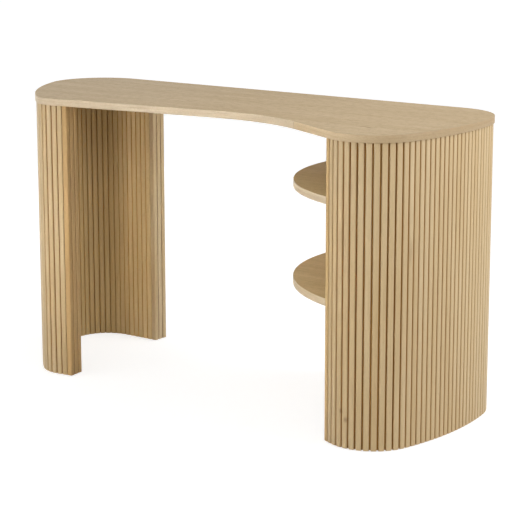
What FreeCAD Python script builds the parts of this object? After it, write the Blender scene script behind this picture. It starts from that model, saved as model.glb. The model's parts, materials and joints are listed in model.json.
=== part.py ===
"""Kidney-shaped desk on two U-shaped legs clad with vertical tambour slats.

Frame: millimetres, +Z up, +X along the length of the desk, the user sits on the -Y side.
The origin is on the floor, under the middle of the desktop's box.
"""
import FreeCAD, Part
import math
import os
from collections import namedtuple

import Sketcher
from FreeCAD import Placement, Rotation, Vector

DIMENSIONS = {
    # desktop outline: a chain of arcs and straight runs that meet tangentially
    "desk_length": 1400,
    "desk_depth": 565,
    "desk_height": 750,
    "side_radius": 775,
    "side_centre_y": 6.5,
    "back_right_radius": 155,
    "lobe_radius": 120,
    "hollow_radius": 480,
    "hollow_centre_x": 127,
    "hollow_centre_y": -613.5,
    "front_left_radius": 93,
    "front_left_x": -442,
    "front_left_y": -110,
    "left_end_radius": 668,
    "back_left_radius": 143,
    # desktop board
    "top_thickness": 18,
    "veneer_thickness": 0.6,
    "band_thickness": 1,
    # layers of a leg wall, from the rim of the desktop inwards
    "top_overhang": 3,
    "slat_thickness": 9,
    "skin_thickness": 5,
    "frame_thickness": 20,
    # slats and the strips on the arm ends
    "slat_width": 14.2,
    "slat_pitch": 17,
    "slat_edge_radius": 2.5,
    "corner_strip_width": 14,
    "middle_strip_width": 15,
    # legs
    "leg_bottom": 2.5,
    "rib_thickness": 18,
    "left_middle_rib_z": 360,
    "stud_length": 40,
    "left_front_run": 46,
    "left_back_end": -444,
    "right_front_run": 25,
    "right_back_end": 175,
    # shelves
    "shelf_thickness": 18,
    "shelf_radius": 470,
    "shelf_centre_x": 642,
    "shelf_centre_y": 200,
    "shelf_clearance": 0.5,
    "upper_shelf_top": 590,
    "lower_shelf_top": 345,
    "pin_diameter": 5,
    "pin_length": 34,
    "pin_reach": 10,
    # fixings between the legs and the desktop
    "fixing_gap": 0.05,
    "dowel_diameter": 8,
    "dowel_length": 30,
    "dowel_in_top": 12,
    "edge_break": 0.8,
    "bracket_arm": 40,
    "bracket_width": 30,
    "bracket_thickness": 3,
    "bracket_clearance": 0.3,
    "bracket_screw_spread": 18,
    "bracket_screw_drop": 11,
    "bracket_bolt_reach": 25,
    "screw_diameter": 4,
    "screw_length": 30,
    "screw_point": 4,
    "screw_head_diameter": 8,
    "screw_head_height": 2.5,
    "bolt_diameter": 6,
    "bolt_length": 13,
    "bolt_head_diameter": 11,
    "bolt_head_height": 3.3,
    "insert_diameter": 10,
    "insert_length": 12,
    # levelling feet
    "foot_diameter": 20,
    "foot_thickness": 2.3,
    "stem_length": 16,
}

Line = namedtuple("Line", "start end")
Arc = namedtuple("Arc", "name centre radius begin finish")

doc = FreeCAD.newDocument("kidney_desk")
sheet = doc.addObject("Spreadsheet::Sheet", "dims")
for row, (alias, size) in enumerate(DIMENSIONS.items(), start=1):
    sheet.set("A%d" % row, alias)
    sheet.set("B%d" % row, str(size))
    sheet.setAlias("B%d" % row, alias)
doc.recompute()

nodes = []


def dim(alias):
    return float(sheet.get(alias))


def value(terms):
    """Number for a sum of dimensions, given as a dictionary of alias and factor."""
    return sum(factor * dim(alias) for alias, factor in terms.items())


def formula(terms):
    """Expression for the same sum, for binding to the sheet."""
    return " + ".join("%s * dims.%s" % (factor, alias) for alias, factor in terms.items())


def plus(*sums):
    total = {}
    for terms in sums:
        for alias, factor in terms.items():
            total[alias] = total.get(alias, 0) + factor
    return total


def minus(terms):
    return {alias: -factor for alias, factor in terms.items()}


def one(alias, factor=1):
    return {alias: factor}


# Depths below the rim of the desktop at which the layers of a leg wall meet
OUTER_FACE = one("top_overhang")
OUTER_GLUE = plus(OUTER_FACE, one("slat_thickness"))
FRAME_OUTSIDE = plus(OUTER_GLUE, one("skin_thickness"))
FRAME_MIDDLE = plus(FRAME_OUTSIDE, one("frame_thickness", 0.5))
FRAME_INSIDE = plus(FRAME_OUTSIDE, one("frame_thickness"))
INNER_GLUE = plus(FRAME_INSIDE, one("skin_thickness"))
INNER_FACE = plus(INNER_GLUE, one("slat_thickness"))
SHELF_EDGE = plus(INNER_FACE, one("shelf_clearance"))

# Heights
TOP_UNDERSIDE = {"desk_height": 1, "top_thickness": -1}
LEG_HEIGHT = plus(TOP_UNDERSIDE, one("leg_bottom", -1))
UPPER_SHELF_UNDERSIDE = {"upper_shelf_top": 1, "shelf_thickness": -1}
LOWER_SHELF_UNDERSIDE = {"lower_shelf_top": 1, "shelf_thickness": -1}

# Where the centre of each arc of the outline is given, in x and in y; tangency gives the rest
ARC_CENTRES = {
    "back_right": (None, None),
    "side": ({"desk_length": 0.5, "side_radius": -1}, one("side_centre_y")),
    "lobe": (None, {"lobe_radius": 1, "desk_depth": -0.5}),
    "hollow": (one("hollow_centre_x"), one("hollow_centre_y")),
    "front_left": (one("front_left_x"), one("front_left_y")),
    "left_end": (None, None),
    "back_left": ({"back_left_radius": 1, "desk_length": -0.5}, None),
    "shelf": (one("shelf_centre_x"), one("shelf_centre_y")),
}


# Outline geometry

def angle_of(direction):
    return math.atan2(direction.y, direction.x)


def heading(angle):
    return Vector(math.cos(angle), math.sin(angle), 0)


def left_of(direction):
    return Vector(-direction.y, direction.x, 0)


def tangent_normal(first, first_radius, second, second_radius):
    """Outward normal of the straight run between two arcs; a hollow arc has a negative radius."""
    way = second - first
    gap = way.Length
    along = way * (1 / gap)
    cosine = (first_radius - second_radius) / gap
    return along * cosine + left_of(along) * math.sqrt(1 - cosine ** 2)


def meeting_point(first, first_reach, second, second_reach):
    """Point at given distances from two points, to the right of the way from one to the other."""
    way = second - first
    gap = way.Length
    along = way * (1 / gap)
    ahead = (first_reach ** 2 - second_reach ** 2 + gap ** 2) / (2 * gap)
    return first + along * ahead - left_of(along) * math.sqrt(first_reach ** 2 - ahead ** 2)


def rim_path(inset):
    """Outline of the desktop moved inwards, clockwise from the left end of the back edge."""
    back = dim("desk_depth") / 2
    radius = {name: dim(name + "_radius") - inset for name in ARC_CENTRES}
    hollow_radius = -dim("hollow_radius") - inset
    side = Vector(value(ARC_CENTRES["side"][0]), dim("side_centre_y"), 0)

    def inside_side(name, y):
        reach = dim("side_radius") - dim(name + "_radius")
        return Vector(side.x + math.sqrt(reach ** 2 - (y - side.y) ** 2), y, 0)

    corner = inside_side("back_right", back - dim("back_right_radius"))
    lobe = inside_side("lobe", value(ARC_CENTRES["lobe"][1]))
    hollow = Vector(dim("hollow_centre_x"), dim("hollow_centre_y"), 0)
    front_left = Vector(dim("front_left_x"), dim("front_left_y"), 0)
    back_left = Vector(value(ARC_CENTRES["back_left"][0]), back - dim("back_left_radius"), 0)
    right_front = tangent_normal(lobe, radius["lobe"], hollow, hollow_radius)
    left_front = tangent_normal(hollow, hollow_radius, front_left, radius["front_left"])
    front_reach = radius["left_end"] - radius["front_left"]
    back_reach = radius["left_end"] - radius["back_left"]
    left_end = meeting_point(front_left, front_reach, back_left, back_reach)
    quarter = math.pi / 2
    corner_finish = angle_of(corner - side)
    side_finish = angle_of(lobe - side)
    hollow_start = angle_of(right_front) + math.pi
    hollow_finish = angle_of(left_front) + math.pi
    end_start = angle_of(front_left - left_end)
    end_finish = angle_of(back_left - left_end)
    return [
        Line(Vector(back_left.x, back - inset, 0), Vector(corner.x, back - inset, 0)),
        Arc("back_right", corner, radius["back_right"], quarter, corner_finish),
        Arc("side", side, radius["side"], corner_finish, side_finish),
        Arc("lobe", lobe, radius["lobe"], side_finish, angle_of(right_front)),
        Line(lobe + right_front * radius["lobe"], hollow + right_front * hollow_radius),
        Arc("hollow", hollow, -hollow_radius, hollow_start, hollow_finish),
        Line(hollow + left_front * hollow_radius, front_left + left_front * radius["front_left"]),
        Arc("front_left", front_left, radius["front_left"], angle_of(left_front), end_start),
        Arc("left_end", left_end, radius["left_end"], end_start, end_finish),
        Arc("back_left", back_left, radius["back_left"], end_finish, quarter - 2 * math.pi),
    ]


def direction_of(line):
    way = line.end - line.start
    return way * (1 / way.Length)


def leg_path(leg, inset, setback=0.0):
    """Course of a leg wall, clockwise, shortened at both arm ends by the setback."""
    rim = rim_path(inset)
    back = rim[0]
    if leg == "left":
        front = rim[6]
        run = direction_of(front) * (dim("left_front_run") - setback)
        end = Vector(dim("left_back_end") - setback, back.start.y, 0)
        return [Line(front.end - run, front.end), *rim[7:10], Line(back.start, end)]
    front = rim[4]
    run = direction_of(front) * (dim("right_front_run") - setback)
    start = Vector(dim("right_back_end") + setback, back.start.y, 0)
    return [Line(start, back.end), *rim[1:4], Line(front.start, front.start + run)]


def length_of(piece):
    if isinstance(piece, Line):
        return (piece.end - piece.start).Length
    return piece.radius * abs(piece.finish - piece.begin)


def point_on(piece, share):
    """Point at a share of a line's or arc's length, and the outward normal there."""
    if isinstance(piece, Line):
        return piece.start + (piece.end - piece.start) * share, left_of(direction_of(piece))
    outward = heading(piece.begin + (piece.finish - piece.begin) * share)
    return piece.centre + outward * piece.radius, outward


def walk(path, distance):
    """Point and outward normal at a distance along a path."""
    for piece in path:
        if distance <= length_of(piece):
            break
        distance -= length_of(piece)
    return point_on(piece, distance / length_of(piece))


def upright(point, facing, z=0.0):
    """Placement that stands a piece at a point with its local +Y towards the facing direction."""
    turn = Rotation(Vector(0, 0, 1), math.degrees(angle_of(facing)) - 90)
    return Placement(Vector(point.x, point.y, z), turn)


def along_axis(point, direction, z):
    """Placement that lays a piece's local +Z along a level direction."""
    return Placement(Vector(point.x, point.y, z), Rotation(Vector(0, 0, 1), direction))


# Sketches

def new_body(name, height_terms=None):
    body = doc.addObject("PartDesign::Body", name)
    if height_terms:
        body.setExpression("Placement.Base.z", formula(height_terms))
    return body


def new_sketch(body, plane):
    sketch = body.newObject("Sketcher::SketchObject", body.Name + "_sketch")
    origin = [item for item in body.Origin.OriginFeatures if item.Role == plane]
    sketch.AttachmentSupport = [(origin[0], "")]
    sketch.MapMode = "FlatFace"
    return sketch


def bind(sketch, kind, *geometry, terms):
    """Adds a dimension to a sketch and ties it to the sheet."""
    number = sketch.addConstraint(Sketcher.Constraint(kind, *geometry, value(terms)))
    sketch.setExpression("Constraints[%d]" % number, formula(terms))


def join(sketch, kind, *geometry):
    sketch.addConstraint(Sketcher.Constraint(kind, *geometry))


class Drawn:
    """A line or arc in a sketch, with the numbers of its start and end points along the path."""

    def __init__(self, sketch, piece):
        if isinstance(piece, Line):
            self.number = sketch.addGeometry(Part.LineSegment(piece.start, piece.end))
            self.start, self.end = 1, 2
            return
        circle = Part.Circle(piece.centre, Vector(0, 0, 1), piece.radius)
        low, high = sorted((piece.begin, piece.finish))
        self.number = sketch.addGeometry(Part.ArcOfCircle(circle, low, high))
        self.start, self.end = (1, 2) if piece.begin < piece.finish else (2, 1)


def centre_arc(sketch, number, name):
    for kind, terms in zip(("DistanceX", "DistanceY"), ARC_CENTRES[name]):
        if terms:
            bind(sketch, kind, -1, 1, number, 3, terms=terms)


def draw_path(sketch, path, inset):
    """Draws tangent lines and arcs at an inset from the rim and ties their sizes to the sheet."""
    drawn = [Drawn(sketch, piece) for piece in path]
    for here, after in zip(drawn, drawn[1:]):
        join(sketch, "Tangent", here.number, here.end, after.number, after.start)
    for piece, item in zip(path, drawn):
        if isinstance(piece, Arc):
            sign = 1 if piece.name == "hollow" else -1
            size = plus(one(piece.name + "_radius"), {alias: sign * part for alias, part in inset.items()})
            bind(sketch, "Radius", item.number, terms=size)
            centre_arc(sketch, item.number, piece.name)
        elif abs(piece.start.y - piece.end.y) < 1e-6:
            join(sketch, "Horizontal", item.number)
            bind(sketch, "DistanceY", -1, 1, item.number, 1, terms=plus(one("desk_depth", 0.5), minus(inset)))
    return drawn


def guide_front(sketch, line, inset):
    """Keeps a front run in line with the desktop's hollow front by a construction circle."""
    centre = Vector(dim("hollow_centre_x"), dim("hollow_centre_y"), 0)
    size = plus(one("hollow_radius"), inset)
    circle = Part.Circle(centre, Vector(0, 0, 1), value(size))
    number = sketch.addGeometry(circle, True)
    bind(sketch, "Radius", number, terms=size)
    centre_arc(sketch, number, "hollow")
    join(sketch, "Tangent", line.number, number)


def pad(body, sketch, thickness):
    feature = body.newObject("PartDesign::Pad", body.Name + "_pad")
    feature.Profile = sketch
    feature.setExpression("Length", formula(thickness))
    body.Tip = feature


def rim_board(name, inset, bottom, thickness):
    """Board with the outline of the desktop."""
    body = new_body(name, bottom)
    sketch = new_sketch(body, "XY_Plane")
    drawn = draw_path(sketch, rim_path(value(inset)), inset)
    join(sketch, "Tangent", drawn[-1].number, drawn[-1].end, drawn[0].number, drawn[0].start)
    pad(body, sketch, thickness)
    return body


def wall_band(name, leg, outside, inside, setback, bottom, height):
    """U-shaped band of a leg wall between two depths below the rim."""
    body = new_body(name, bottom)
    sketch = new_sketch(body, "XY_Plane")
    outer_path = leg_path(leg, value(outside), value(setback))
    inner_path = leg_path(leg, value(inside), value(setback))
    outer = draw_path(sketch, outer_path, outside)
    inner = draw_path(sketch, inner_path, inside)
    caps = []
    for end, share in ((0, 0), (-1, 1)):
        start = point_on(outer_path[end], share)[0]
        finish = point_on(inner_path[end], share)[0]
        cap = Drawn(sketch, Line(start, finish))
        side = "start" if end == 0 else "end"
        join(sketch, "Coincident", cap.number, 1, outer[end].number, getattr(outer[end], side))
        join(sketch, "Coincident", cap.number, 2, inner[end].number, getattr(inner[end], side))
        join(sketch, "Perpendicular", cap.number, outer[end].number)
        caps.append(cap)
    front, back = (0, -1) if leg == "left" else (-1, 0)
    guide_front(sketch, outer[front], outside)
    join(sketch, "Parallel", outer[front].number, inner[front].number)
    bind(sketch, "Distance", outer[front].number, terms=plus(one(leg + "_front_run"), minus(setback)))
    inwards = minus(setback) if leg == "left" else setback
    bind(sketch, "DistanceX", -1, 1, caps[back].number, 1, terms=plus(one(leg + "_back_end"), inwards))
    pad(body, sketch, height)
    return body


def shelf_board(name, radius, bottom):
    """Shelf that fits inside the right leg; its free edge is an arc that bulges out of the opening."""
    body = new_body(name, bottom)
    sketch = new_sketch(body, "XY_Plane")
    path = leg_path("right", value(SHELF_EDGE), -dim("shelf_clearance"))
    centre = Vector(dim("shelf_centre_x"), dim("shelf_centre_y"), 0)
    rise = path[0].start.y - centre.y
    corner = Vector(centre.x - math.sqrt(value(radius) ** 2 - rise ** 2), path[0].start.y, 0)
    path[0] = Line(corner, path[0].end)
    tip = path[-1].end
    outward = left_of(direction_of(path[-1]))
    offset = (tip - centre).dot(outward)
    notch = math.sqrt(offset ** 2 + value(radius) ** 2 - (tip - centre).Length ** 2) - offset
    meeting = tip + outward * notch
    drawn = draw_path(sketch, path, SHELF_EDGE)
    guide_front(sketch, drawn[-1], SHELF_EDGE)
    bind(sketch, "Distance", drawn[-1].number, terms=plus(one("right_front_run"), one("shelf_clearance")))
    step = Drawn(sketch, Line(tip, meeting))
    join(sketch, "Coincident", drawn[-1].number, 2, step.number, 1)
    join(sketch, "Perpendicular", drawn[-1].number, step.number)
    begin = angle_of(meeting - centre)
    finish = angle_of(corner - centre) - 2 * math.pi
    edge = Drawn(sketch, Arc("shelf", centre, value(radius), begin, finish))
    bind(sketch, "Radius", edge.number, terms=radius)
    centre_arc(sketch, edge.number, "shelf")
    join(sketch, "Coincident", step.number, 2, edge.number, edge.start)
    join(sketch, "Coincident", edge.number, edge.end, drawn[0].number, 1)
    pad(body, sketch, one("shelf_thickness"))
    return body


def slat_body(name, width, thickness):
    """Upright strip: local +X across it, +Y out of its rounded face, standing on the leg's lower end."""
    body = new_body(name)
    sketch = new_sketch(body, "XY_Plane")
    half, depth, edge = value(width) / 2, value(thickness), dim("slat_edge_radius")
    quarter = math.pi / 2
    outline = [
        Line(Vector(-half, 0, 0), Vector(half, 0, 0)),
        Line(Vector(half, 0, 0), Vector(half, depth - edge, 0)),
        Arc("edge", Vector(half - edge, depth - edge, 0), edge, 0, quarter),
        Line(Vector(half - edge, depth, 0), Vector(edge - half, depth, 0)),
        Arc("edge", Vector(edge - half, depth - edge, 0), edge, quarter, 2 * quarter),
        Line(Vector(-half, depth - edge, 0), Vector(-half, 0, 0)),
    ]
    base, right, first, face, second, left = [Drawn(sketch, piece).number for piece in outline]
    join(sketch, "Coincident", base, 2, right, 1)
    join(sketch, "Coincident", left, 2, base, 1)
    for here, after in ((right, first), (first, face), (face, second), (second, left)):
        join(sketch, "Tangent", here, 2, after, 1)
    for level in (base, face):
        join(sketch, "Horizontal", level)
    for side in (right, left):
        join(sketch, "Vertical", side)
    join(sketch, "Equal", first, second)
    join(sketch, "Symmetric", base, 1, base, 2, -1, 1)
    bind(sketch, "Radius", first, terms=one("slat_edge_radius"))
    bind(sketch, "DistanceX", base, 1, base, 2, terms=width)
    bind(sketch, "DistanceY", base, 2, face, 1, terms=thickness)
    pad(body, sketch, LEG_HEIGHT)
    return body


def turned_body(name, profile):
    """Piece turned about its local Z axis from a closed profile of radius and height pairs."""
    body = new_body(name)
    sketch = new_sketch(body, "XZ_Plane")
    corners = [Vector(value(radius), value(height), 0) for radius, height in profile]
    lines = [sketch.addGeometry(Part.LineSegment(a, b)) for a, b in zip(corners, corners[1:] + corners[:1])]
    for index, line in enumerate(lines):
        join(sketch, "Coincident", line, 1, lines[index - 1], 2)
    for line, (radius, height) in zip(lines, profile):
        for kind, terms, axis in (("DistanceX", radius, -2), ("DistanceY", height, -1)):
            if terms:
                bind(sketch, kind, -1, 1, line, 1, terms=terms)
            else:
                join(sketch, "PointOnObject", line, 1, axis)
    feature = body.newObject("PartDesign::Revolution", name + "_turn")
    feature.Profile = sketch
    feature.ReferenceAxis = (sketch, ["V_Axis"])
    feature.Angle = 360
    body.Tip = feature
    return body


# Nodes

def keep(item, label):
    item.Label = label
    nodes.append(item)
    return item


def group(label, items):
    """Separate solids as one object: copies of pieces, each at its own placement."""
    doc.recompute()
    solids = []
    for item, places in items:
        for place in places:
            solid = item.Shape.copy()
            solid.Placement = place.multiply(solid.Placement)
            solids.append(solid)
    result = doc.addObject("Part::Feature", label)
    result.Shape = Part.Compound(solids)
    return result


def drill(blank, *bores):
    for bore in bores:
        cut = doc.addObject("Part::Cut", blank.Name + "_drilled")
        cut.Base = blank
        cut.Tool = bore
        blank = cut
    return blank


def bore_tool(name, diameter, length):
    tool = doc.addObject("Part::Cylinder", name)
    tool.setExpression("Radius", formula(plus(one(diameter, 0.5), one("fixing_gap"))))
    tool.setExpression("Height", formula(length))
    return tool


# Spots along a leg's path: the number of the line or arc, and the share of its length.
# Left path: front run, front corner, end, back corner, back run.
# Right path: back run, back corner, side, lobe, front run.
BRACKET_SPOTS = {"left": [(0, 0.65), (2, 0.5), (4, 0.45)], "right": [(0, 0.15), (0, 0.75), (2, 0.5)]}
DOWEL_SPOTS = {"left": [(1, 0.5), (2, 0.85), (3, 0.6)], "right": [(0, 0.45), (1, 0.5), (3, 0.4)]}
STUD_SPOTS = {"left": [(0, 0.6), (2, 0.5), (4, 0.736)], "right": [(0, 0.081), (0, 0.9), (2, 0.5), (3, 0.96)]}
PIN_SPOTS = [(0, 0.12), (0, 0.9), (2, 0.5), (3, 0.7)]
FOOT_SPOTS = {
    "left_front_foot": ("left", 0, 0.5),
    "left_end_foot": ("left", 3, 0.2),
    "left_back_foot": ("left", 4, 0.7),
    "right_inner_foot": ("right", 0, 0.08),
    "right_back_foot": ("right", 1, 0.5),
    "right_side_foot": ("right", 3, 0.15),
    "right_front_foot": ("right", 3, 0.92),
}


def leg_spots(table, depth):
    """Point and outward normal of each spot in a table of legs."""
    found = []
    for leg, spots in table.items():
        path = leg_path(leg, value(depth))
        found += [point_on(path[piece], share) for piece, share in spots]
    return found


# Bores for the fixings

bracket_walls = leg_spots(BRACKET_SPOTS, plus(INNER_FACE, one("bracket_clearance")))
bracket_places = [upright(point, outward * -1, value(TOP_UNDERSIDE)) for point, outward in bracket_walls]


def in_bracket(x, y, z, rotation=Rotation()):
    """Places of a fixing, given in the frame of the bracket, on every bracket."""
    return [place.multiply(Placement(Vector(x, y, z), rotation)) for place in bracket_places]


into_wall = Rotation(Vector(1, 0, 0), 90)
screw_seat = dim("bracket_thickness")
screw_places = []
for side in (-1, 1):
    across = side * dim("bracket_screw_spread") / 2
    screw_places += in_bracket(across, screw_seat, -dim("bracket_screw_drop"), into_wall)
bolt_places = in_bracket(0, dim("bracket_bolt_reach"), -dim("bracket_thickness"))
insert_places = in_bracket(0, dim("bracket_bolt_reach"), 0)
dowel_z = value(TOP_UNDERSIDE) + dim("dowel_in_top") - dim("dowel_length")
dowel_places = [upright(point, Vector(0, 1, 0), dowel_z) for point, _ in leg_spots(DOWEL_SPOTS, FRAME_MIDDLE)]
foot_places = {}
for foot, (leg, piece, share) in FOOT_SPOTS.items():
    point = point_on(leg_path(leg, value(FRAME_MIDDLE))[piece], share)[0]
    foot_places[foot] = Placement(point, Rotation())
leg_lift = Vector(0, 0, dim("leg_bottom"))
thread_places = [Placement(place.Base + leg_lift, Rotation()) for place in foot_places.values()]
pin_places = []
for underside in (UPPER_SHELF_UNDERSIDE, LOWER_SHELF_UNDERSIDE):
    pin_z = value(underside) - dim("pin_diameter") / 2
    for point, outward in leg_spots({"right": PIN_SPOTS}, plus(INNER_FACE, one("pin_reach"))):
        pin_places.append(along_axis(point, outward, pin_z))


def bores(name, diameter, length, places):
    return group(name + "_bores", [(bore_tool(name + "_bore", diameter, one(length)), places)])


screw_bores = bores("screw", "screw_diameter", "screw_length", screw_places)
dowel_bores = bores("dowel", "dowel_diameter", "dowel_length", dowel_places)
pin_bores = bores("pin", "pin_diameter", "pin_length", pin_places)
insert_bores = bores("insert", "insert_diameter", "insert_length", insert_places)
thread_bores = bores("thread", "insert_diameter", "rib_thickness", thread_places)


# Desktop: core board between two veneers, inside an edge band

BAND = one("band_thickness")
CORE_BOTTOM = plus(TOP_UNDERSIDE, one("veneer_thickness"))
CORE_THICKNESS = {"top_thickness": 1, "veneer_thickness": -2}
core_blank = rim_board("desktop_core_blank", BAND, CORE_BOTTOM, CORE_THICKNESS)
keep(drill(core_blank, dowel_bores, insert_bores), "desktop_core")
bottom_blank = rim_board("bottom_veneer_blank", BAND, TOP_UNDERSIDE, one("veneer_thickness"))
keep(drill(bottom_blank, dowel_bores, insert_bores), "desktop_bottom_veneer")
TOP_VENEER_Z = {"desk_height": 1, "veneer_thickness": -1}
keep(rim_board("top_veneer", BAND, TOP_VENEER_Z, one("veneer_thickness")), "desktop_top_veneer")
edge_band = doc.addObject("Part::Cut", "edge_band")
edge_band.Base = rim_board("edge_band_outside", {}, TOP_UNDERSIDE, one("top_thickness"))
edge_band.Tool = rim_board("edge_band_inside", BAND, TOP_UNDERSIDE, one("top_thickness"))
keep(edge_band, "desktop_edge_band")


# Legs: ribs and studs between two skins, clad with slats, closed by strips at the arm ends

STRIP = one("corner_strip_width")
PLATE = one("rib_thickness")


def rib_at_pins(underside):
    """Height of a rib whose middle is level with the pins under a shelf."""
    return plus(underside, one("pin_diameter", -0.5), one("rib_thickness", -0.5))


RIB_HEIGHTS = {
    "left": {
        "bottom": one("leg_bottom"),
        "middle": one("left_middle_rib_z"),
        "top": plus(TOP_UNDERSIDE, minus(PLATE)),
    },
    "right": {
        "bottom": one("leg_bottom"),
        "lower": rib_at_pins(LOWER_SHELF_UNDERSIDE),
        "upper": rib_at_pins(UPPER_SHELF_UNDERSIDE),
        "top": plus(TOP_UNDERSIDE, minus(PLATE)),
    },
}

slat = slat_body("slat", one("slat_width"), one("slat_thickness"))
corner_strip = slat_body("corner_strip", one("corner_strip_width"), STRIP)
middle_strip = slat_body("middle_strip", one("middle_strip_width"), one("slat_thickness"))


# Share of a slat's width, from its middle to just beyond the edges of its back
SLAT_FOOTING = 0.51


def slat_places(leg, glue, outside):
    """Even spacing of the slats along a wall face; in a hollow bend a slat stands on its back edges."""
    gap = dim("slat_pitch") - dim("slat_width")
    reach = SLAT_FOOTING * dim("slat_width")
    path = leg_path(leg, value(glue), dim("corner_strip_width") + gap / 2)
    length = sum(length_of(piece) for piece in path)
    count = round(length / dim("slat_pitch"))
    places = []
    for index in range(count):
        distance = (index + 0.5) * length / count
        point, outward = walk(path, distance)
        facing = outward if outside else outward * -1
        edges = [walk(path, distance + side * reach)[0] for side in (-1, 1)]
        rise = max((edge - point).dot(facing) for edge in edges)
        places.append(upright(point + facing * max(rise, 0), facing, dim("leg_bottom")))
    return places


def strip_places(leg, depth, thickness):
    """Places of a strip on both arm ends of a leg, its face flush with the end."""
    path = leg_path(leg, value(depth))
    outs = ((path[0].start, direction_of(path[0]) * -1), (path[-1].end, direction_of(path[-1])))
    return [upright(point - out * value(thickness), out, dim("leg_bottom")) for point, out in outs]


def rib_slot(leg, level):
    """Slab as thick as a rib, which parts the studs above it from those below."""
    slab = doc.addObject("Part::Box", leg + "_" + level + "_slab")
    slab.setExpression("Length", formula(one("desk_length")))
    slab.setExpression("Width", formula(one("desk_depth")))
    slab.setExpression("Height", formula(PLATE))
    slab.setExpression("Placement.Base.x", formula(one("desk_length", -0.5)))
    slab.setExpression("Placement.Base.y", formula(one("desk_depth", -0.5)))
    slab.setExpression("Placement.Base.z", formula(RIB_HEIGHTS[leg][level]))
    return slab


def build_leg(leg):
    name = leg + "_leg_"
    end_of_frame = one("slat_thickness")
    bottom = one("leg_bottom")
    height = LEG_HEIGHT
    for level, z in RIB_HEIGHTS[leg].items():
        blank = wall_band(name + level + "_blank", leg, FRAME_OUTSIDE, FRAME_INSIDE, end_of_frame, z, PLATE)
        holes = {"bottom": [thread_bores], "top": [dowel_bores, screw_bores], "middle": []}
        keep(drill(blank, *holes.get(level, [pin_bores])), name + level + "_rib")

    frame = wall_band(name + "frame", leg, FRAME_OUTSIDE, FRAME_INSIDE, end_of_frame, bottom, height)
    block = doc.addObject("Part::Box", name + "stud_block")
    block.setExpression("Length", formula(one("stud_length")))
    block.setExpression("Width", formula(one("frame_thickness", 2)))
    block.setExpression("Height", formula(height))
    centred = Placement(Vector(-dim("stud_length") / 2, -dim("frame_thickness"), 0), Rotation())
    stud_spots = leg_spots({leg: STUD_SPOTS[leg]}, FRAME_MIDDLE)
    stud_places = [upright(point, out, dim("leg_bottom")).multiply(centred) for point, out in stud_spots]
    blocks = group(name + "stud_blocks", [(block, stud_places)])
    studs = doc.addObject("Part::Common", name + "studs_whole")
    studs.Base = frame
    studs.Tool = blocks
    keep(drill(studs, *[rib_slot(leg, level) for level in RIB_HEIGHTS[leg]]), name + "studs")

    skin = wall_band(name + "outer_band", leg, OUTER_GLUE, FRAME_OUTSIDE, STRIP, bottom, height)
    keep(skin, name + "outer_skin")
    skin = wall_band(name + "inner_band", leg, FRAME_INSIDE, INNER_GLUE, STRIP, bottom, height)
    keep(drill(skin, screw_bores, pin_bores), name + "inner_skin")

    keep(group(name + "outer_row", [(slat, slat_places(leg, OUTER_GLUE, True))]), name + "outer_slats")
    inner_row = group(name + "inner_row", [(slat, slat_places(leg, INNER_GLUE, False))])
    keep(drill(inner_row, screw_bores, pin_bores), name + "inner_slats")

    outer_corner = plus(OUTER_FACE, one("corner_strip_width", 0.5))
    inner_corner = plus(INNER_FACE, one("corner_strip_width", -0.5))
    corners = strip_places(leg, outer_corner, STRIP) + strip_places(leg, inner_corner, STRIP)
    middles = strip_places(leg, FRAME_MIDDLE, end_of_frame)
    keep(group(name + "strips", [(corner_strip, corners), (middle_strip, middles)]), name + "end_strips")


for leg in ("left", "right"):
    build_leg(leg)


# Shelves: a board with a band on its free edge, resting on pins

for shelf, underside in (("upper", UPPER_SHELF_UNDERSIDE), ("lower", LOWER_SHELF_UNDERSIDE)):
    board_radius = {"shelf_radius": 1, "band_thickness": -1}
    board = keep(shelf_board(shelf + "_board", board_radius, underside), shelf + "_shelf")
    band = doc.addObject("Part::Cut", shelf + "_band")
    band.Base = shelf_board(shelf + "_outside", one("shelf_radius"), underside)
    band.Tool = board
    keep(band, shelf + "_shelf_edge_band")

PIN_RADIUS = one("pin_diameter", 0.5)
pin = turned_body("pin", [
    ({}, {}),
    (plus(PIN_RADIUS, one("edge_break", -0.5)), {}),
    (PIN_RADIUS, one("edge_break", 0.5)),
    (PIN_RADIUS, one("pin_length")),
    ({}, one("pin_length")),
])
keep(group("pins", [(pin, pin_places)]), "shelf_pins")


# Fixings between the legs and the desktop

DOWEL_RADIUS = one("dowel_diameter", 0.5)
DOWEL_WAIST = plus(DOWEL_RADIUS, one("edge_break", -1))
dowel = turned_body("dowel", [
    ({}, {}),
    (DOWEL_WAIST, {}),
    (DOWEL_RADIUS, one("edge_break")),
    (DOWEL_RADIUS, {"dowel_length": 1, "edge_break": -1}),
    (DOWEL_WAIST, one("dowel_length")),
    ({}, one("dowel_length")),
])
keep(group("dowels", [(dowel, dowel_places)]), "leg_dowels")


def block(name, length, width, height, corner):
    """Box with its lowest corner at a place in the bracket's frame, all from the sheet."""
    box = doc.addObject("Part::Box", name)
    for prop, terms in zip(("Length", "Width", "Height"), (length, width, height)):
        box.setExpression(prop, formula(terms))
    for axis, terms in zip("xyz", corner):
        if terms:
            box.setExpression("Placement.Base." + axis, formula(terms))
    return box


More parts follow.
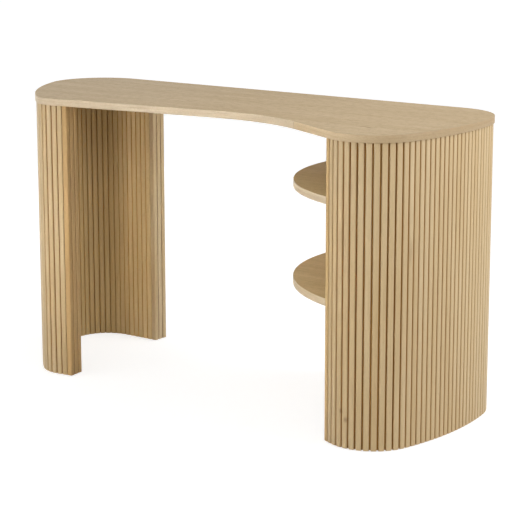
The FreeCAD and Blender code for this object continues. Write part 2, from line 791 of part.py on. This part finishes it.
# Angle bracket: its back on the inner slats, local +Y into the room, its top under the desktop
ARM = one("bracket_arm")
SHEET = one("bracket_thickness")
half_width = one("bracket_width", -0.5)
wall_plate = block("wall_plate", one("bracket_width"), SHEET, ARM, (half_width, {}, minus(ARM)))
top_plate = block("top_plate", one("bracket_width"), ARM, SHEET, (half_width, {}, minus(SHEET)))
angle = doc.addObject("Part::Fuse", "bracket_angle")
angle.Base = wall_plate
angle.Tool = top_plate
hole_length = dim("bracket_arm")
screw_hole = bore_tool("screw_hole", "screw_diameter", ARM)
bolt_hole = bore_tool("bolt_hole", "bolt_diameter", ARM)
hole_places = []
for side in (-1, 1):
    spot = Vector(side * dim("bracket_screw_spread") / 2, hole_length / 2, -dim("bracket_screw_drop"))
    hole_places.append(Placement(spot, into_wall))
bolt_spot = Placement(Vector(0, dim("bracket_bolt_reach"), -hole_length / 2), Rotation())
holes = group("bracket_holes", [(screw_hole, hole_places), (bolt_hole, [bolt_spot])])
bracket = drill(angle, holes)
keep(group("brackets", [(bracket, bracket_places)]), "leg_brackets")

SCREW_RADIUS = one("screw_diameter", 0.5)
SCREW_HEAD = one("screw_head_diameter", 0.5)
screw = turned_body("screw", [
    ({}, minus(one("screw_head_height"))),
    (plus(SCREW_HEAD, one("edge_break", -1)), minus(one("screw_head_height"))),
    (SCREW_HEAD, {"screw_head_height": -1, "edge_break": 1}),
    (SCREW_HEAD, {}),
    (SCREW_RADIUS, {}),
    (SCREW_RADIUS, {"screw_length": 1, "screw_point": -1}),
    ({}, one("screw_length")),
])
keep(group("screws", [(screw, screw_places)]), "bracket_screws")

BOLT_RADIUS = one("bolt_diameter", 0.5)
BOLT_HEAD = one("bolt_head_diameter", 0.5)
bolt = turned_body("bolt", [
    ({}, minus(one("bolt_head_height"))),
    (plus(BOLT_HEAD, one("edge_break", -1)), minus(one("bolt_head_height"))),
    (BOLT_HEAD, {"bolt_head_height": -1, "edge_break": 1}),
    (BOLT_HEAD, {}),
    (BOLT_RADIUS, {}),
    (BOLT_RADIUS, one("bolt_length")),
    ({}, one("bolt_length")),
])
keep(group("bolts", [(bolt, bolt_places)]), "bracket_bolts")

INSERT_BORE = plus(BOLT_RADIUS, one("fixing_gap"))
INSERT_RADIUS = one("insert_diameter", 0.5)
insert = turned_body("insert", [
    (INSERT_BORE, {}),
    (INSERT_RADIUS, {}),
    (INSERT_RADIUS, one("insert_length")),
    (INSERT_BORE, one("insert_length")),
])
keep(group("inserts", [(insert, insert_places)]), "desktop_inserts")
keep(group("foot_threads", [(insert, thread_places)]), "foot_inserts")


# Levelling feet: a glide disc on a threaded stem, screwed up under the bottom ribs

FOOT_RADIUS = one("foot_diameter", 0.5)
STEM_TOP = plus(one("foot_thickness"), one("stem_length"))
for foot, place in foot_places.items():
    body = turned_body(foot + "_body", [
        ({}, {}),
        (plus(FOOT_RADIUS, one("edge_break", -1)), {}),
        (FOOT_RADIUS, one("edge_break")),
        (FOOT_RADIUS, one("foot_thickness")),
        (BOLT_RADIUS, one("foot_thickness")),
        (BOLT_RADIUS, STEM_TOP),
        ({}, STEM_TOP),
    ])
    body.Placement = place
    keep(body, foot)


doc.recompute()
failed = [item.Name for item in doc.Objects if {"Invalid", "Error"} & set(item.State)]
if failed:
    raise RuntimeError("these objects failed: %s" % ", ".join(failed))
for node in nodes:
    if node.Shape.isNull() or not node.Shape.isValid() or not node.Shape.Solids:
        raise RuntimeError("%s has no valid solid" % node.Label)

os.makedirs("parts", exist_ok=True)
for node in nodes:
    node.Shape.exportStep("parts/%s.step" % node.Label)
    print("%-26s %3d solids %10.1f cm3" % (node.Label, len(node.Shape.Solids), node.Shape.Volume / 1000))
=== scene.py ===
"""Looks of the kidney-shaped desk: oak, edge bands and steel fixings, studio light and camera.

Units are metres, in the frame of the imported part: +Z up, the user sits on the -Y side.
"""
import json
import math
import random
from typing import NamedTuple

import bmesh
import bpy
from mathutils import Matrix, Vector
from mathutils.bvhtree import BVHTree


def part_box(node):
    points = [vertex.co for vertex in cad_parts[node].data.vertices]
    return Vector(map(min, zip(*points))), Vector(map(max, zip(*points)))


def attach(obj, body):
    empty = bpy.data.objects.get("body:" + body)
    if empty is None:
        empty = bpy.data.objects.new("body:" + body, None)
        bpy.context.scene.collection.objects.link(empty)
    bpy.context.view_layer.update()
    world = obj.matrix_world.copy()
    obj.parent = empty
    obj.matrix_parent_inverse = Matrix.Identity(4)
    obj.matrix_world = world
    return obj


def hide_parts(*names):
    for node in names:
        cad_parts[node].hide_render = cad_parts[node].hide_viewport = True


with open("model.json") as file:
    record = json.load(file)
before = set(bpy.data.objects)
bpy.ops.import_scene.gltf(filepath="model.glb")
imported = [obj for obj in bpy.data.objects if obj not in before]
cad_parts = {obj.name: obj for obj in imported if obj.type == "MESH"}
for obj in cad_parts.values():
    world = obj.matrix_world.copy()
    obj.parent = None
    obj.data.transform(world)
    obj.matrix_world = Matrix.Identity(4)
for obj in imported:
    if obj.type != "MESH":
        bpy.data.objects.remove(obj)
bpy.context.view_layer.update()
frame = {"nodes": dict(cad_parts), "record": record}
cad_nodes = frame["nodes"]
slot_of_node = {entry["node"]: entry["material_slot"] for entry in frame["record"]["subparts"]}

DESK_BODY = "desk"
SEED = 7
LEGS = ("left", "right")
SHELVES = ("upper", "lower")
WHITE = (1, 1, 1, 1)

# Colours, linear
SLAT_LIGHT = (0.577, 0.438, 0.248, 1)
SLAT_MID = (0.509, 0.362, 0.178, 1)
# Inner slats: the slat oak made lighter and warmer, painted fill light for the shade inside the legs
INNER_PAINTED_FILL_LIGHT = (0.690, 0.520, 0.257, 1)
INNER_PAINTED_FILL_MID = (0.600, 0.435, 0.200, 1)
VENEER_LIGHT = (0.573, 0.439, 0.267, 1)
VENEER_MID = (0.500, 0.370, 0.210, 1)
# Shelves: the veneer oak made lighter and more saturated, painted fill light for the shade under the
# desktop
SHELF_PAINTED_FILL_LIGHT = (0.765, 0.567, 0.270, 1)
SHELF_PAINTED_FILL_MID = (0.670, 0.478, 0.210, 1)
BAND_LIGHT = (0.667, 0.550, 0.389, 1)
BAND_MID = (0.553, 0.426, 0.264, 1)
OAK_DARK = (0.400, 0.255, 0.110, 1)
PORE = (0.250, 0.150, 0.062, 1)
PLY_LIGHT = (0.600, 0.310, 0.060, 1)
PLY_DARK = (0.430, 0.210, 0.035, 1)
BOARD_LIGHT = (0.560, 0.405, 0.225, 1)
BOARD_DARK = (0.400, 0.262, 0.130, 1)
STEEL = (0.560, 0.555, 0.540, 1)
STEEL_DULL = (0.360, 0.355, 0.345, 1)
BRASS = (0.640, 0.430, 0.150, 1)
BRASS_DULL = (0.420, 0.270, 0.090, 1)

# Tints that multiply an oak colour: painted shade on groove walls, painted shade and a painted sheen on arm
# ends, and along the desktop's band a tone of its own with painted shade
SLAT_GROOVE_SHADE = (0.92, 0.70, 0.36, 1)
INNER_GROOVE_SHADE = (1.00, 0.78, 0.44, 1)
END_GROOVE_SHADE = (0.48, 0.38, 0.27, 1)
FRONT_ARM_SHADE = (0.98, 0.89, 0.77, 1)
BACK_ARM_SHEEN = (1.00, 1.05, 1.18, 1)
BAND_SECOND_TONE_AND_SHADE = (0.97, 0.905, 0.79, 1)
BAND_FAR_SHADE = (0.66, 0.62, 0.55, 1)

# The band is two strips that meet on the hollow front; the second one has a tone of its own with painted
# shade, and painted shade darkens it to its far end, along X
SEAM_X = 0.337
SEAM_WIDTH = 0.002
SEAM_SHARE = 0.5
BAND_FAR_SHADE_SPAN = (0.48, 0.70)

# From the front arms of the legs, with painted shade on their ends, to the back arms, with a painted sheen
# on theirs, along Y
ARM_SHADE_TO_SHEEN_SPAN = (-0.05, 0.05)

# Single marks in the wood: the middle of each and its reach along X, Y and Z
SLAT_KNOTS = (
    ((0.545, -0.279, 0.092), (0.007, 0.010, 0.009)),
    ((0.559, -0.280, 0.073), (0.008, 0.010, 0.010)),
)
TOP_STREAKS = (
    ((0.520, -0.157, 0.750), (0.026, 0.006, 0.010)),
    ((0.541, -0.164, 0.750), (0.012, 0.008, 0.010)),
)
MARK_SPAN = (0.45, 1.25)
MARK_SHARE = 0.75
MARK_RAGGEDNESS = 0.6


class Layer(NamedTuple):
    """A noise in a surface: its scale along and across the grain, its make-up, and where it fades in."""
    slow: float
    fast: float
    detail: float
    roughness: float
    low: float = 0.0
    high: float = 1.0
    distortion: float = 0.0


# Layers of lacquered oak
CLOUDS = Layer(slow=2.2, fast=22.0, detail=3.0, roughness=0.55, low=0.30, high=0.70)
LINES = Layer(slow=3.5, fast=320.0, detail=4.0, roughness=0.62, low=0.52, high=0.78, distortion=0.3)
PORES = Layer(slow=70.0, fast=2400.0, detail=2.0, roughness=0.6, low=0.60, high=0.72)
WAVES = Layer(slow=1.1, fast=11.0, detail=5.0, roughness=0.62, low=0.50, high=0.75, distortion=1.4)
FLECKS = Layer(slow=55.0, fast=95.0, detail=4.0, roughness=0.80, low=0.45, high=0.70)
PATCHES = Layer(slow=160.0, fast=320.0, detail=3.0, roughness=0.65, low=0.42, high=0.72)
LINE_SHARE = 0.42
PORE_SHARE = 0.55
STRIP_TONE_SHARE = 0.13
OAK_RELIEF = 0.00012
LINE_RELIEF_SHARE = 0.5

# Knots in the slats: cells per metre along and across the grain, how rare they are and where they fade out
KNOT_SLOW = 5.0
KNOT_FAST = 26.0
KNOT_RARITY = 0.93
KNOT_SPAN = (0.04, 0.20)

# Layers of raw board and of metal
BOARD_CLOUDS = Layer(slow=4.0, fast=60.0, detail=4.0, roughness=0.6, low=0.3, high=0.7)
FIBRES = Layer(slow=25.0, fast=900.0, detail=3.0, roughness=0.6, low=0.5, high=0.8)
FIBRE_SHARE = 0.35
BOARD_RELIEF = 0.0001
TARNISH = Layer(slow=160.0, fast=160.0, detail=4.0, roughness=0.6, low=0.35, high=0.75)
SCRATCHES = Layer(slow=300.0, fast=4000.0, detail=2.0, roughness=0.5)
SCRATCH_RELIEF = 0.00002

# Noise values between which a surface turns from smoother to rougher, and by how much each way
WOOD_ROUGH_SPAN = (0.3, 0.8)
OAK_ROUGH_CHANGE = (-0.06, 0.08)
BOARD_ROUGH_CHANGE = (-0.08, 0.08)
METAL_ROUGH_SPAN = (0.7, 1.4)
METAL_ROUGH_CHANGE = (-0.08, 0.12)


def along(grain, slow, fast):
    """Texture scale that is slow along the axes of the grain and fast across them."""
    return tuple(slow if letter in grain else fast for letter in "XYZ")


class Recipe:
    """The nodes of a material or of the world: adds nodes, sets their inputs and joins them."""

    def __init__(self, owner):
        owner.use_nodes = True
        self.owner = owner
        self.tree = owner.node_tree
        self.shader = self.tree.nodes.get("Principled BSDF")

    def put(self, socket, item):
        if isinstance(item, bpy.types.NodeSocket):
            self.tree.links.new(item, socket)
        else:
            socket.default_value = item

    def node(self, kind, inputs=None, **settings):
        made = self.tree.nodes.new(kind)
        for key, setting in settings.items():
            setattr(made, key, setting)
        for key, item in (inputs or {}).items():
            self.put(made.inputs[key], item)
        return made

    def position(self):
        return self.node("ShaderNodeTexCoord").outputs["Object"]

    def coordinate(self, position, axis):
        return self.node("ShaderNodeSeparateXYZ", {"Vector": position}).outputs[axis]

    def attribute(self, name, output="Fac"):
        return self.node("ShaderNodeAttribute", attribute_name=name).outputs[output]

    def stretched(self, position, scale):
        inputs = {"Vector": position, "Scale": scale}
        return self.node("ShaderNodeMapping", inputs).outputs["Vector"]

    def noise(self, layer, position, grain):
        inputs = {
            "Vector": self.stretched(position, along(grain, layer.slow, layer.fast)),
            "Scale": 1.0,
            "Detail": layer.detail,
            "Roughness": layer.roughness,
            "Distortion": layer.distortion,
        }
        return self.node("ShaderNodeTexNoise", inputs).outputs["Fac"]

    def math(self, operation, first, second=0.0):
        return self.node("ShaderNodeMath", {0: first, 1: second}, operation=operation).outputs[0]

    def vectors(self, operation, first, second=(0, 0, 0), output="Vector"):
        return self.node("ShaderNodeVectorMath", {0: first, 1: second}, operation=operation).outputs[output]

    def spread(self, value, low, high, to_low=0.0, to_high=1.0):
        inputs = {"Value": value, "From Min": low, "From Max": high, "To Min": to_low, "To Max": to_high}
        return self.node("ShaderNodeMapRange", inputs, clamp=True).outputs["Result"]

    def cover(self, layer, noise, share=1.0):
        """How far a layer covers: from nothing at its low value to its share at its high value."""
        return self.spread(noise, layer.low, layer.high, 0.0, share)

    def blend(self, factor, first, second, mode="MIX"):
        made = self.node("ShaderNodeMix", data_type="RGBA", blend_type=mode)
        self.put(made.inputs["Factor"], factor)
        self.put(made.inputs["A"], first)
        self.put(made.inputs["B"], second)
        return made.outputs["Result"]

    def tinted(self, colour, tint, factor=1.0):
        return self.blend(factor, colour, tint, "MULTIPLY")

    def surface(self, colour, roughness, unevenness, span, change):
        """Joins the colour, and a roughness that changes with a noise, to the shader."""
        smoother, rougher = change
        self.put(self.shader.inputs["Base Color"], colour)
        self.put(self.shader.inputs["Roughness"],
                 self.spread(unevenness, *span, roughness + smoother, roughness + rougher))

    def bump(self, height, distance):
        inputs = {"Height": height, "Distance": distance, "Strength": 1.0}
        self.put(self.shader.inputs["Normal"], self.node("ShaderNodeBump", inputs).outputs["Normal"])


# Materials

def knot_mask(recipe, position, grain, share):
    """Few small knots, each in a cell of its own."""
    stretched = recipe.stretched(position, along(grain, KNOT_SLOW, KNOT_FAST))
    inputs = {"Vector": stretched, "Scale": 1.0, "Randomness": 1.0}
    cells = recipe.node("ShaderNodeTexVoronoi", inputs).outputs
    chance = recipe.node("ShaderNodeSeparateColor", {"Color": cells["Color"]}).outputs["Red"]
    core = recipe.spread(cells["Distance"], *KNOT_SPAN, share, 0.0)
    return recipe.math("MULTIPLY", recipe.math("GREATER_THAN", chance, KNOT_RARITY), core)


def mark_mask(recipe, position, lines, middle, reach):
    """One mark at a known place, with an edge made ragged by the lines of the grain."""
    offset = recipe.vectors("DIVIDE", recipe.vectors("SUBTRACT", position, middle), reach)
    distance = recipe.vectors("LENGTH", offset, output="Value")
    ragged = recipe.math("ADD", distance, recipe.math("MULTIPLY", lines, MARK_RAGGEDNESS))
    return recipe.spread(ragged, *MARK_SPAN, MARK_SHARE, 0.0)


def two_strip_band_with_shade(recipe, colour, position):
    """Colours a band as two strips with a thin seam between them; the second strip gets a tone of its own
    with painted shade, which deepens to its far end.
    """
    across = recipe.coordinate(position, "X")
    colour = recipe.tinted(colour, BAND_SECOND_TONE_AND_SHADE, recipe.spread(across, SEAM_X, SEAM_X + SEAM_WIDTH))
    colour = recipe.tinted(colour, BAND_FAR_SHADE, recipe.spread(across, *BAND_FAR_SHADE_SPAN))
    offset = recipe.math("ABSOLUTE", recipe.math("SUBTRACT", across, SEAM_X))
    return recipe.blend(recipe.spread(offset, 0.0, SEAM_WIDTH, SEAM_SHARE, 0.0), colour, PORE)


def oak(name, grain, light, dark, per_strip=False, groove_shade=None, arm_shade_and_sheen=(), knots=0.0, figure=0.0,
        fleck=0.0, mottle=0.0, seam=False, marks=(), gloss=0.5, roughness=0.50):
    """Lacquered oak; grain names the axes along which the wood's lines run.

    A strip has its own tone and stretch of grain. Knots, figure, fleck and mottle say how strongly
    each of them shows.
    """
    recipe = Recipe(bpy.data.materials.new(name))
    home = recipe.position()
    place = home
    if per_strip:
        place = recipe.vectors("ADD", home, recipe.attribute("grain_shift", "Vector"))
    clouds = recipe.noise(CLOUDS, place, grain)
    lines = recipe.noise(LINES, place, grain)
    colour = recipe.blend(recipe.cover(CLOUDS, clouds), dark, light)
    colour = recipe.blend(recipe.cover(LINES, lines, LINE_SHARE), colour, OAK_DARK)
    extras = ((WAVES, figure, OAK_DARK), (FLECKS, fleck, PORE), (PATCHES, mottle, OAK_DARK))
    for layer, share, tone in extras:
        if share:
            noise = recipe.noise(layer, place, grain)
            colour = recipe.blend(recipe.cover(layer, noise, share), colour, tone)
    pores = recipe.cover(PORES, recipe.noise(PORES, place, grain), PORE_SHARE)
    colour = recipe.blend(pores, colour, PORE)
    if knots:
        colour = recipe.blend(knot_mask(recipe, place, grain, knots), colour, PORE)
    for middle, reach in marks:
        colour = recipe.blend(mark_mask(recipe, home, lines, middle, reach), colour, PORE)
    if per_strip:
        darker = recipe.spread(recipe.attribute("tone"), 0.0, 1.0, STRIP_TONE_SHARE, 0.0)
        colour = recipe.blend(darker, colour, OAK_DARK)
    # Painted shade on the walls of the grooves between strips
    if groove_shade:
        colour = recipe.tinted(colour, groove_shade, recipe.attribute("groove_shade_wall"))
    # Painted shade on the ends of the front arms, a painted sheen on the ends of the back arms
    if arm_shade_and_sheen:
        depth = recipe.coordinate(home, "Y")
        colour = recipe.tinted(colour, recipe.blend(recipe.spread(depth, *ARM_SHADE_TO_SHEEN_SPAN), *arm_shade_and_sheen))
    # Seam between the band's strips, with painted shade on the second strip
    if seam:
        colour = two_strip_band_with_shade(recipe, colour, home)
    recipe.surface(colour, roughness, lines, WOOD_ROUGH_SPAN, OAK_ROUGH_CHANGE)
    recipe.shader.inputs["Specular IOR Level"].default_value = gloss
    ridges = recipe.math("MULTIPLY", lines, LINE_RELIEF_SHARE)
    recipe.bump(recipe.math("SUBTRACT", ridges, pores), OAK_RELIEF)
    return recipe.owner


def raw_board(name, grain, light, dark, roughness):
    """Unfinished board or plywood, seen only from below and in the grooves."""
    recipe = Recipe(bpy.data.materials.new(name))
    place = recipe.position()
    clouds = recipe.noise(BOARD_CLOUDS, place, grain)
    fibres = recipe.noise(FIBRES, place, grain)
    colour = recipe.blend(recipe.cover(BOARD_CLOUDS, clouds), dark, light)
    colour = recipe.blend(recipe.cover(FIBRES, fibres, FIBRE_SHARE), colour, dark)
    recipe.surface(colour, roughness, fibres, WOOD_ROUGH_SPAN, BOARD_ROUGH_CHANGE)
    recipe.bump(fibres, BOARD_RELIEF)
    return recipe.owner


def metal(name, bright, dull, roughness):
    """Plated or turned metal with fine scratches along X and slightly uneven tarnish."""
    recipe = Recipe(bpy.data.materials.new(name))
    place = recipe.position()
    tarnish = recipe.noise(TARNISH, place, "X")
    scratches = recipe.noise(SCRATCHES, place, "X")
    colour = recipe.blend(recipe.cover(TARNISH, tarnish), bright, dull)
    unevenness = recipe.math("ADD", tarnish, scratches)
    recipe.surface(colour, roughness, unevenness, METAL_ROUGH_SPAN, METAL_ROUGH_CHANGE)
    recipe.shader.inputs["Metallic"].default_value = 1.0
    recipe.bump(scratches, SCRATCH_RELIEF)
    return recipe.owner


slat_oak = oak("oak_slats", "Z", SLAT_LIGHT, SLAT_MID, per_strip=True, groove_shade=SLAT_GROOVE_SHADE, knots=0.35,
               marks=SLAT_KNOTS)
# Inner slats: painted fill light in their colour
painted_fill_inner_oak = oak("oak_inner_slats_painted_fill", "Z", INNER_PAINTED_FILL_LIGHT, INNER_PAINTED_FILL_MID, per_strip=True, groove_shade=INNER_GROOVE_SHADE,
                knots=0.35)
end_oak = oak("oak_end_strips", "Z", SLAT_LIGHT, SLAT_MID, per_strip=True, groove_shade=END_GROOVE_SHADE,
              arm_shade_and_sheen=(FRONT_ARM_SHADE, BACK_ARM_SHEEN), gloss=0.1)
veneer_oak = oak("oak_veneer", "X", VENEER_LIGHT, VENEER_MID, figure=0.14, fleck=0.42, marks=TOP_STREAKS,
                 gloss=0.15, roughness=0.60)
# Shelves: painted fill light in their colour
painted_fill_shelf_oak = oak("oak_shelf", "X", SHELF_PAINTED_FILL_LIGHT, SHELF_PAINTED_FILL_MID, figure=0.12, fleck=0.22,
                gloss=0.18, roughness=0.60)
band_oak = oak("oak_edge_band", "XY", BAND_LIGHT, BAND_MID, mottle=0.22, seam=True)
shelf_band_oak = oak("oak_shelf_band", "XY", BAND_LIGHT, BAND_MID, mottle=0.15)
groove_ply = raw_board("bending_ply", "Z", PLY_LIGHT, PLY_DARK, roughness=0.70)
frame_board = raw_board("frame_board", "X", BOARD_LIGHT, BOARD_DARK, roughness=0.65)
dowel_beech = raw_board("beech_dowel", "Z", SLAT_LIGHT, SLAT_MID, roughness=0.55)
zinc = metal("zinc_steel", STEEL, STEEL_DULL, roughness=0.34)
brass = metal("turned_brass", BRASS, BRASS_DULL, roughness=0.30)

SLOT_MATERIALS = {
    "oak_veneer": veneer_oak,
    "core_board": frame_board,
    "oak_edge_band": band_oak,
    "oak_slats": slat_oak,
    "bending_ply": groove_ply,
    "oak_shelf": painted_fill_shelf_oak,
    "beech_dowel": dowel_beech,
    "fixing_steel": zinc,
    "brass_insert": brass,
    "foot_steel": zinc,
}
for node, slot in slot_of_node.items():
    materials = cad_nodes[node].data.materials
    materials.clear()
    materials.append(SLOT_MATERIALS[slot])


# Strips and bands that take the place of CAD nodes, with eased edges and a tone of their own

WELD_DISTANCE = 1e-5
FLAT_ANGLE = math.radians(0.5)
SHARP_ANGLE = math.radians(60)
SHADING_ANGLE = math.radians(35)
LEVEL_NORMAL = 0.9
UPRIGHT_NORMAL = 0.1
EASE_SEGMENTS = 2
ROUND_PROFILE = 0.5
STRIP_EASE = 0.0004
DESKTOP_BAND_EASE = 0.0006
SHELF_BAND_EASE = 0.0005
GRAIN_SHIFT = 9.0

# A face is a groove's wall if another face stands before it within this reach
GROOVE_REACH = 0.004
RAY_LIFT = 1e-5

# A point inside the outline of the desktop
DESKTOP_MIDDLE = Vector((0.1, 0.0, 0.741))


def welded(node):
    """Mesh of a CAD node with its split corners joined, so that each solid is one island."""
    shape = bmesh.new()
    shape.from_mesh(cad_nodes[node].data)
    bmesh.ops.remove_doubles(shape, verts=shape.verts, dist=WELD_DISTANCE)
    bmesh.ops.dissolve_limit(shape, angle_limit=FLAT_ANGLE, verts=shape.verts, edges=shape.edges)
    return shape


def islands(shape):
    """The vertices of each separate solid."""
    left = set(shape.verts)
    while left:
        found = {min(left, key=lambda vert: vert.index)}
        border = set(found)
        while border:
            border = {edge.other_vert(vert) for vert in border for edge in vert.link_edges} - found
            found |= border
        left -= found
        yield found


def sharp_edges(shape):
    closed = [edge for edge in shape.edges if len(edge.link_faces) == 2]
    return [edge for edge in closed if edge.calc_face_angle() > SHARP_ANGLE]


def ease(shape, edges, width):
    bmesh.ops.bevel(shape, geom=edges, offset=width, offset_type="OFFSET", segments=EASE_SEGMENTS,
                    profile=ROUND_PROFILE, affect="EDGES", clamp_overlap=True)


def mark_groove_shade_walls(shape):
    """Marks the faces that look at the next strip across a groove: the walls that get painted shade."""
    shape.normal_update()
    wall = shape.faces.layers.float.new("groove_shade_wall")
    tree = BVHTree.FromBMesh(shape)
    for face in shape.faces:
        start = face.calc_center_median() + face.normal * RAY_LIFT
        hit = tree.ray_cast(start, face.normal, GROOVE_REACH)[0]
        face[wall] = float(hit is not None)


def place_copy(shape, node, material):
    """Turns a mesh into a piece that rides on the desk and stands for a CAD node."""
    name = node + "_dressed"
    mesh = bpy.data.meshes.new(name)
    shape.to_mesh(mesh)
    shape.free()
    mesh.materials.append(material)
    mesh.polygons.foreach_set("use_smooth", [True] * len(mesh.polygons))
    mesh.set_sharp_from_angle(angle=SHADING_ANGLE)
    piece = bpy.data.objects.new(name, mesh)
    bpy.context.scene.collection.objects.link(piece)
    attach(piece, DESK_BODY)
    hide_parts(node)


def strip_row(node, material, dice):
    """Slats or end strips, each with a tone and a stretch of grain of its own."""
    shape = welded(node)
    ease(shape, sharp_edges(shape), STRIP_EASE)
    shape.verts.index_update()
    tone = shape.verts.layers.float.new("tone")
    shift = shape.verts.layers.float_vector.new("grain_shift")
    for solid in islands(shape):
        strip_tone = dice.random()
        strip_shift = Vector([dice.uniform(-GRAIN_SHIFT, GRAIN_SHIFT) for axis in "XYZ"])
        for vert in solid:
            vert[tone] = strip_tone
            vert[shift] = strip_shift
    mark_groove_shade_walls(shape)
    place_copy(shape, node, material)


def rim_band(node, material, middle, width):
    """Edge band with its outer corners eased; the corner against the veneer stays tight."""
    shape = welded(node)
    outer = []
    for edge in sharp_edges(shape):
        spot = (edge.verts[0].co + edge.verts[1].co) / 2 - middle
        flats = [face for face in edge.link_faces if abs(face.normal.z) > LEVEL_NORMAL]
        walls = [face for face in edge.link_faces if abs(face.normal.z) < UPRIGHT_NORMAL]
        if flats and walls and spot.xy.dot(walls[0].normal.xy) > 0:
            outer.append(edge)
    ease(shape, outer, width)
    place_copy(shape, node, material)


dice = random.Random(SEED)
STRIP_OAK = {"outer_slats": slat_oak, "inner_slats": painted_fill_inner_oak, "end_strips": end_oak}
for leg in LEGS:
    for row, material in STRIP_OAK.items():
        strip_row("%s_leg_%s" % (leg, row), material, dice)

rim_band("desktop_edge_band", band_oak, DESKTOP_MIDDLE, DESKTOP_BAND_EASE)
for shelf in SHELVES:
    low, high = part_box(shelf + "_shelf")
    rim_band(shelf + "_shelf_edge_band", shelf_band_oak, (low + high) / 2, SHELF_BAND_EASE)


# Camera

PHOTO_SIZE = 530
FOCAL_LENGTH_PX = 1823.4
SENSOR = 36.0
CAMERA_PLACE = Vector((2.8437, -3.7014, 1.3423))
CAMERA_AZIMUTH = math.radians(36.36)
CAMERA_PITCH = math.radians(11.48)
CAMERA_SHIFT_Y = -0.05

camera_data = bpy.data.cameras.new("camera")
camera_data.sensor_width = SENSOR
camera_data.lens = FOCAL_LENGTH_PX / PHOTO_SIZE * SENSOR
camera_data.shift_y = CAMERA_SHIFT_Y
camera = bpy.data.objects.new("camera", camera_data)
camera.location = CAMERA_PLACE
camera.rotation_euler = (math.pi / 2 - CAMERA_PITCH, 0, CAMERA_AZIMUTH)
bpy.context.scene.collection.objects.link(camera)
bpy.context.scene.camera = camera


# Stage: white floor that keeps the shadow, an even sky and soft lamps round the desk

FLOOR_REACH = 30.0
FLOOR_BOUNCE = (0.92, 0.915, 0.90, 1)
FLOOR_SEEN = (0.40, 0.40, 0.40, 1)
FLOOR_ROUGHNESS = 0.9
FLOOR_GLOW_SPAN = (1.5, 7.0)
FLOOR_GLOW_NEAR = 0.79
FLOOR_GLOW_FAR = 0.85
SKY_STRENGTH = 0.45
SKY_SEEN_STRENGTH = 1.0

# Places that the lamps are aimed at
DESK_CENTRE = (0, 0, 0.4)
LEFT_LEG = (-0.5, 0.1, 0.40)
RIGHT_LEG = (0.45, -0.05, 0.42)


def seen_directly(recipe):
    """1 for rays that show the background: straight to the camera, or by gloss or glass."""
    path = recipe.node("ShaderNodeLightPath").outputs
    seen = recipe.math("MAXIMUM", path["Is Camera Ray"], path["Is Glossy Ray"])
    return recipe.math("MAXIMUM", seen, path["Is Transmission Ray"])


def white_floor():
    """Floor that looks white, a little more so away from the desk, and still shows its shadow."""
    recipe = Recipe(bpy.data.materials.new("white_floor"))
    seen = seen_directly(recipe)
    recipe.put(recipe.shader.inputs["Base Color"], recipe.blend(seen, FLOOR_BOUNCE, FLOOR_SEEN))
    recipe.shader.inputs["Roughness"].default_value = FLOOR_ROUGHNESS
    recipe.shader.inputs["Specular IOR Level"].default_value = 0.0
    recipe.shader.inputs["Emission Color"].default_value = WHITE
    distance = recipe.vectors("LENGTH", recipe.position(), output="Value")
    glow = recipe.spread(distance, *FLOOR_GLOW_SPAN, FLOOR_GLOW_NEAR, FLOOR_GLOW_FAR)
    recipe.put(recipe.shader.inputs["Emission Strength"], recipe.math("MULTIPLY", seen, glow))
    return recipe.owner


def softbox(name, azimuth, elevation, distance, size, power, target=DESK_CENTRE, spread=180):
    """Area light aimed at a place on the desk; azimuth 0 is in front of it, 90 at its right, in degrees."""
    turn, rise = math.radians(azimuth), math.radians(elevation)
    away = Vector((math.sin(turn) * math.cos(rise), -math.cos(turn) * math.cos(rise), math.sin(rise)))
    data = bpy.data.lights.new(name, "AREA")
    data.shape = "RECTANGLE"
    data.size, data.size_y = size
    data.energy = power
    data.spread = math.radians(spread)
    lamp = bpy.data.objects.new(name, data)
    lamp.location = Vector(target) + away * distance
    lamp.rotation_euler = (-away).to_track_quat("-Z", "Y").to_euler()
    bpy.context.scene.collection.objects.link(lamp)


bpy.ops.mesh.primitive_plane_add(size=2 * FLOOR_REACH, location=(0, 0, 0))
floor = bpy.context.object
floor.name = "floor"
floor.data.materials.append(white_floor())

world = bpy.data.worlds.new("studio")
bpy.context.scene.world = world
sky = Recipe(world)
sky_light = sky.tree.nodes["Background"].inputs
sky_light["Color"].default_value = WHITE
sky.put(sky_light["Strength"], sky.spread(seen_directly(sky), 0.0, 1.0, SKY_STRENGTH, SKY_SEEN_STRENGTH))

softbox("left_softbox", azimuth=-40, elevation=18, distance=3.2, size=(2.2, 1.8), power=22)
softbox("front_softbox", azimuth=45, elevation=30, distance=4.0, size=(2.0, 1.6), power=15)
softbox("right_softbox", azimuth=105, elevation=20, distance=3.4, size=(2.0, 1.8), power=26)
softbox("back_right_softbox", azimuth=120, elevation=40, distance=3.0, size=(2.0, 1.8), power=30)
softbox("back_left_softbox", azimuth=236, elevation=8, distance=3.4, size=(2.0, 1.8), power=11)
softbox("left_leg_softbox", azimuth=24, elevation=0, distance=4.6, size=(1.0, 0.6), power=1.1,
        target=LEFT_LEG, spread=16)
softbox("right_leg_softbox", azimuth=-20, elevation=18, distance=4.0, size=(1.0, 0.9), power=1.05,
        target=RIGHT_LEG, spread=16)

bpy.context.scene.view_settings.view_transform = "Standard"
